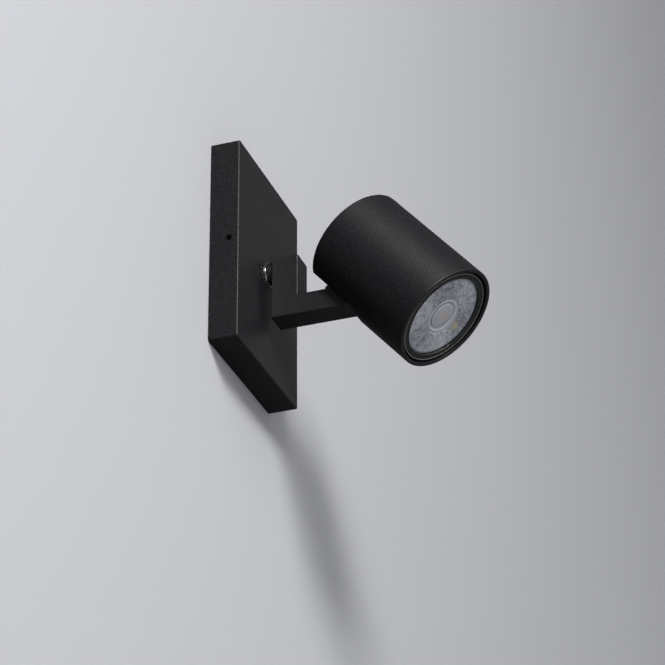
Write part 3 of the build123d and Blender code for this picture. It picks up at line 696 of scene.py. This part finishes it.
def makeOptic():
    front = opticSet["front"]
    back = front - opticSet["thickness"]
    ring = opticSet["ringRadius"]
    inner = opticSet["innerRing"]
    groove = front - opticSet["ringGroove"]
    wide, edge = opticSet["radius"], opticSet["edge"]
    coneFront, coneBack = opticSet["coneFrontRadius"], opticSet["coneBackRadius"]
    domeSteps = opticSet["domeSteps"]
    profile = []
    for step in range(domeSteps + 1):       # the dome, from its centre out to the inner ring
        share = step / domeSteps
        rise = (opticSet["domeRise"] + opticSet["ringGroove"]) * (1 - opticSet["domeFall"] * share ** 2)
        profile.append((inner * share, groove + rise))
    recess = cornerBy("recess", coneFront, back)
    profile += [
        cornerBy("grooveStart", inner, groove),     # the groove round the dome
        cornerBy("grooveEnd", ring, groove),
        cornerBy("ringFoot", ring, front),          # the ring
        (ring, front),
        cornerBy("stepFoot", ring, groove),         # the step outside it
        cornerBy("stepTop", ring, front),
        (wide - edge, front),                       # the flat face out to the rim
        (wide, front - edge),
        (wide, back),
        (coneFront, back),
        recess,
        (0, recess[1]),
    ]
    face = newPiece("opticFace", turned("opticFace", profile, opticSet["around"]),
                    clearOptic("clearOptic", opticSet["faceAlpha"], opticSet["faceDepth"]),
                    "head")
    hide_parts("lamp_lens")

    # the optic's own cone: rows of flat facets that mirror the light inside
    rows = opticSet["facetRows"]
    cone = []
    for row in range(rows + 1):
        share = row / rows
        radius = coneBack + (coneFront - coneBack) * share ** opticSet["coneCurve"]
        along = front - opticSet["depth"] + (opticSet["depth"] - opticSet["thickness"]) * share
        cone.append((radius, along))
    for row in range(rows, -1, -1):
        cone.append(cornerBy("coneWall", *cone[row]))
    cone.append(cone[0])
    newPiece("opticCone", turned("opticCone", cone, opticSet["facetsAround"], smooth=False),
             mirrorFacets("mirrorFacets"), "head")


makeOptic()
print("optic made")

# black spacer between the collar and the leg
spacerSet = {"radius": 5.95 * mm, "edge": 0.2 * mm, "slack": 0.02 * mm, "around": 96}


def makeSpacer():
    # a ring about the swivel's axis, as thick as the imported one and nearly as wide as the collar
    low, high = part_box("leg_spacer")
    bore = min(vertex.co.xz.length for vertex in nodes["leg_spacer"].data.vertices)
    front, back = low[1] + spacerSet["slack"], high[1] - spacerSet["slack"]
    wide, edge = spacerSet["radius"], spacerSet["edge"]
    profile = [(bore, back), (wide - edge, back), (wide, back - edge), (wide, front + edge),
               (wide - edge, front), (bore, front), (bore, back)]
    onSwivel = Matrix(((1, 0, 0, 0), (0, 0, 1, 0), (0, -1, 0, 0), (0, 0, 0, 1)))
    ring = newPiece("spacerRing", turned("spacerRing", profile, spacerSet["around"], False, onSwivel),
                    coatings["black"], "arm")
    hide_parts("leg_spacer")


# thin moulded lips on the lamp's bezel; the outer lip's pale grey is a painted highlight along the bezel's edge
lipSet = {
    "lips": {
        # name: radius, width, how proud of the bezel's front, finish
        # the outer lip's pale finish is a painted highlight along the bezel's edge
        "outerLip": (24.45 * mm, 0.30 * mm, 0.18 * mm, "lip"),
        "innerLip": (22.05 * mm, 0.50 * mm, 0.22 * mm, "bezel"),
    },
    "bezelFront": 66.8 * mm,    # along the head, from the outside of its rear
    "sunk": 0.2 * mm,           # how far a lip reaches into the bezel
    "steps": 8,
    "around": 120,
}


def makeLips():
    bezelFront, steps = lipSet["bezelFront"], lipSet["steps"]
    seat = bezelFront - lipSet["sunk"]
    for name, (radius, width, proud, finish) in lipSet["lips"].items():
        profile = []
        for step in range(steps + 1):
            angle = math.pi * step / steps
            profile.append((radius - width / 2 * math.cos(angle), bezelFront + proud * math.sin(angle)))
        profile += [(radius + width / 2, seat), (radius - width / 2, seat), profile[0]]
        newPiece(name, turned(name, profile, lipSet["around"]), coatings[finish], "head")


makeSpacer()
makeLips()
print("spacer and bezel lips made")

# small lenses on the optic's face
lensSet = {
    "innerRadius": 10.2 * mm,
    "outerRadius": 20.6 * mm,
    "pitch": 0.86 * mm,
    "height": 0.20 * mm,
    "lean": 0.34,               # radians
    "leanSeeds": (3, 8),
    "overlap": 1.05,            # a lens's width as a share of the pitch
    "segments": 8,
    "rings": 5,
}


def growLenses():
    # laid out along a sunflower's spiral, each leaning its own way
    tree = bpy.data.node_groups.new("faceLenses", "GeometryNodeTree")
    tree.interface.new_socket("Geometry", in_out="OUTPUT", socket_type="NodeSocketGeometry")
    sizes = {
        "Inner Radius": lensSet["innerRadius"],
        "Outer Radius": lensSet["outerRadius"],
        "Pitch": lensSet["pitch"],
        "Height": lensSet["height"],
        "Front": opticSet["front"],
        "Lean": lensSet["lean"],
    }
    names = {}
    for name in sizes:
        names[name] = tree.interface.new_socket(name, in_out="INPUT", socket_type="NodeSocketFloat").identifier
    finish = tree.interface.new_socket("Finish", in_out="INPUT", socket_type="NodeSocketMaterial").identifier
    given = tree.nodes.new("NodeGroupInput")

    def put(kind, settings=None, **inputs):
        node = tree.nodes.new(kind)
        for key, value in (settings or {}).items():
            setattr(node, key, value)
        for key, value in inputs.items():
            socket = node.inputs[int(key[1:])] if key[1:].isdigit() else node.inputs[key.replace("_", " ")]
            if isinstance(value, bpy.types.NodeSocket):
                tree.links.new(value, socket)
            else:
                socket.default_value = value
        return node

    def sums(operation, first, second=0.0):
        return put("ShaderNodeMath", {"operation": operation}, i0=first, i1=second).outputs[0]

    inner, outer, pitch = (given.outputs[key] for key in ("Inner Radius", "Outer Radius", "Pitch"))
    innerSquare = sums("MULTIPLY", inner, inner)
    areaShare = sums("SUBTRACT", sums("MULTIPLY", outer, outer), innerSquare)
    perLens = sums("MULTIPLY", sums("MULTIPLY", pitch, pitch), 1.0 / math.pi)
    count = sums("DIVIDE", areaShare, perLens)
    index = put("GeometryNodeInputIndex").outputs[0]
    radius = sums("SQRT", sums("ADD", innerSquare, sums("MULTIPLY", index, perLens)))
    angle = sums("MULTIPLY", index, math.pi * (3 - math.sqrt(5)))
    place = put("ShaderNodeCombineXYZ", X=sums("MULTIPLY", radius, sums("COSINE", angle)),
                Y=sums("MULTIPLY", radius, sums("SINE", angle)), Z=given.outputs["Front"]).outputs[0]
    points = put("GeometryNodePoints", Count=count, Position=place).outputs[0]
    dome = put("GeometryNodeMeshUVSphere", Segments=lensSet["segments"], Rings=lensSet["rings"],
               Radius=0.5).outputs[0]
    width = sums("MULTIPLY", pitch, lensSet["overlap"])
    size = put("ShaderNodeCombineXYZ", X=width, Y=width,
               Z=sums("MULTIPLY", given.outputs["Height"], 2.0)).outputs[0]
    back = sums("MULTIPLY", given.outputs["Lean"], -1.0)
    leans = []
    for seed in lensSet["leanSeeds"]:
        lean = put("FunctionNodeRandomValue", {"data_type": "FLOAT"}, i2=back, i3=given.outputs["Lean"], Seed=seed)
        leans.append(lean.outputs[1])
    turn = put("ShaderNodeCombineXYZ", X=leans[0], Y=leans[1], Z=0.0).outputs[0]
    spread = put("GeometryNodeInstanceOnPoints", Points=points, Instance=dome, Rotation=turn, Scale=size).outputs[0]
    real = put("GeometryNodeRealizeInstances", Geometry=spread).outputs[0]
    smooth = put("GeometryNodeSetShadeSmooth", Geometry=real).outputs[0]
    painted = put("GeometryNodeSetMaterial", Geometry=smooth, Material=given.outputs["Finish"]).outputs[0]
    end = tree.nodes.new("NodeGroupOutput")
    tree.links.new(painted, end.inputs[0])

    host = bpy.data.objects.new("faceLensHost", bpy.data.meshes.new("faceLensHost"))
    bpy.context.scene.collection.objects.link(host)
    grower = host.modifiers.new("lenses", "NODES")
    grower.node_group = tree
    for name, size in sizes.items():
        grower[names[name]] = size
    grower[finish] = clearOptic("lensBeads", opticSet["beadAlpha"], opticSet["beadDepth"])
    ready = host.evaluated_get(bpy.context.evaluated_depsgraph_get())
    mesh = bpy.data.meshes.new_from_object(ready)
    bpy.data.objects.remove(host)
    mesh.transform(headPlace)
    newPiece("faceLenses", mesh, None, "head")
    print("face lenses", len(mesh.polygons))


growLenses()

# stage
stageSet = {
    "wallGap": 0.25 * mm,
    "wallHalfWidth": 3.0,
    "floor": -0.95,
    "ceiling": 2.6,
    "reach": 4.0,
    "holeMargin": 2.5 * mm,
    "wallColour": (0.595, 0.60, 0.63),
    "floorColour": (0.60, 0.61, 0.63),
    "wallThrows": 0.18,     # share of its colour that each keeps for the light it throws back
    "floorThrows": 0.85,
    "floorShown": 0.6,      # how far the floor is shown at its own colour, also in the wall's shade
    "grain": 3 * mm,
    "depth": 0.05 * mm,
    "cloud": 0.5,
    "cloudDark": 0.96,
    "roughness": 0.9,
    "gloss": 0.2,
}


def stageMaterial(name, shade, throws, oneSided):
    paint = Paint(name)
    grain = paint.noise(stageSet["grain"], 2.0)
    tone = paint.mixed(paint.noise(stageSet["cloud"], 2.0), darker(shade, stageSet["cloudDark"]), shade)
    seen = paint.node("ShaderNodeLightPath", {}, {}, "Is Camera Ray")
    matt = paint.node("ShaderNodeBsdfPrincipled", {}, {
        "Base Color": paint.mixed(seen, darker(shade, throws), tone),
        "Roughness": stageSet["roughness"],
        "Specular IOR Level": stageSet["gloss"],
        "Normal": paint.bumped(grain, stageSet["depth"]),
    }, "BSDF")
    if oneSided:
        share = paint.node("ShaderNodeNewGeometry", {}, {}, "Backfacing")
        other = paint.node("ShaderNodeBsdfTransparent", {}, {}, "BSDF")
    else:
        share = seen * stageSet["floorShown"]
        other = paint.node("ShaderNodeEmission", {}, {"Color": colour(shade)}, "Emission")
    matt = paint.node("ShaderNodeMixShader", {}, {0: share, 1: matt, 2: other}, 0)
    paint.close(matt)
    return paint.material


def flatStage(name, corners, holes, finish):
    mesh = bpy.data.meshes.new(name)
    points = corners + holes
    if holes:
        faces = [(n, (n + 1) % 4, 4 + (n + 1) % 4, 4 + n) for n in range(4)]
    else:
        faces = [(0, 1, 2, 3)]
    mesh.from_pydata(points, [], faces)
    mesh.materials.append(finish)
    piece = bpy.data.objects.new(name, mesh)
    bpy.context.scene.collection.objects.link(piece)


def makeStage():
    wide, low, high = stageSet["wallHalfWidth"], stageSet["floor"], stageSet["ceiling"]
    coverLow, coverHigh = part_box("wall_cover")
    margin = stageSet["holeMargin"]
    y = stageSet["wallGap"]
    outer = [(-wide, y, low), (wide, y, low), (wide, y, high), (-wide, y, high)]
    hole = [
        (coverLow[0] + margin, y, coverLow[2] + margin),
        (coverHigh[0] - margin, y, coverLow[2] + margin),
        (coverHigh[0] - margin, y, coverHigh[2] - margin),
        (coverLow[0] + margin, y, coverHigh[2] - margin),
    ]
    matteWall = stageMaterial("matteWall", stageSet["wallColour"], stageSet["wallThrows"], True)
    flatStage("wallBackdrop", outer, hole, matteWall)
    reach = stageSet["reach"]
    floor = [(-reach, -reach, low), (reach, -reach, low), (reach, reach, low), (-reach, reach, low)]
    paleFloor = stageMaterial("paleFloor", stageSet["floorColour"], stageSet["floorThrows"], False)
    flatStage("floor", floor, [], paleFloor)


lampsSet = {
    "lamps": {
        # name: place, watts, width
        "keySoftbox": ((-1.62, -1.155, 0.946), 51.0, 0.62),
        "frontSoftbox": ((-0.55, -2.10, 0.35), 13.5, 1.8),
        "rightSoftbox": ((1.55, -1.35, 0.55), 1.6, 1.5),
    },
    "aim": (0, -0.05, 0),
}
skySet = {
    "tint": (0.96, 0.97, 1.0),
    "strength": 0.12,
    "shown": (0.60, 0.61, 0.64),
}


def makeLamps():
    for name, (place, watts, width) in lampsSet["lamps"].items():
        data = bpy.data.lights.new(name, "AREA")
        data.shape = "SQUARE"
        data.size = width
        data.energy = watts
        lamp = bpy.data.objects.new(name, data)
        bpy.context.scene.collection.objects.link(lamp)
        lamp.location = place
        lamp.rotation_mode = "QUATERNION"
        lamp.rotation_quaternion = (Vector(lampsSet["aim"]) - Vector(place)).to_track_quat("-Z", "Y")


def makeSky():
    # an even, dim light from all round, which the camera sees as a paler tone
    world = bpy.data.worlds.new("studio")
    bpy.context.scene.world = world
    world.use_nodes = True
    tree = world.node_tree
    tree.nodes.clear()
    add = tree.nodes.new
    path = add("ShaderNodeLightPath")
    lit = add("ShaderNodeBackground")
    shown = add("ShaderNodeBackground")
    pick = add("ShaderNodeMixShader")
    end = add("ShaderNodeOutputWorld")
    lit.inputs["Color"].default_value = colour(skySet["tint"])
    lit.inputs["Strength"].default_value = skySet["strength"]
    shown.inputs["Color"].default_value = colour(skySet["shown"])
    tree.links.new(path.outputs["Is Camera Ray"], pick.inputs[0])
    tree.links.new(lit.outputs[0], pick.inputs[1])
    tree.links.new(shown.outputs[0], pick.inputs[2])
    tree.links.new(pick.outputs[0], end.inputs["Surface"])


makeStage()
makeLamps()
makeSky()
bpy.context.scene.view_settings.view_transform = "Standard"
print("stage, lamps and sky made")
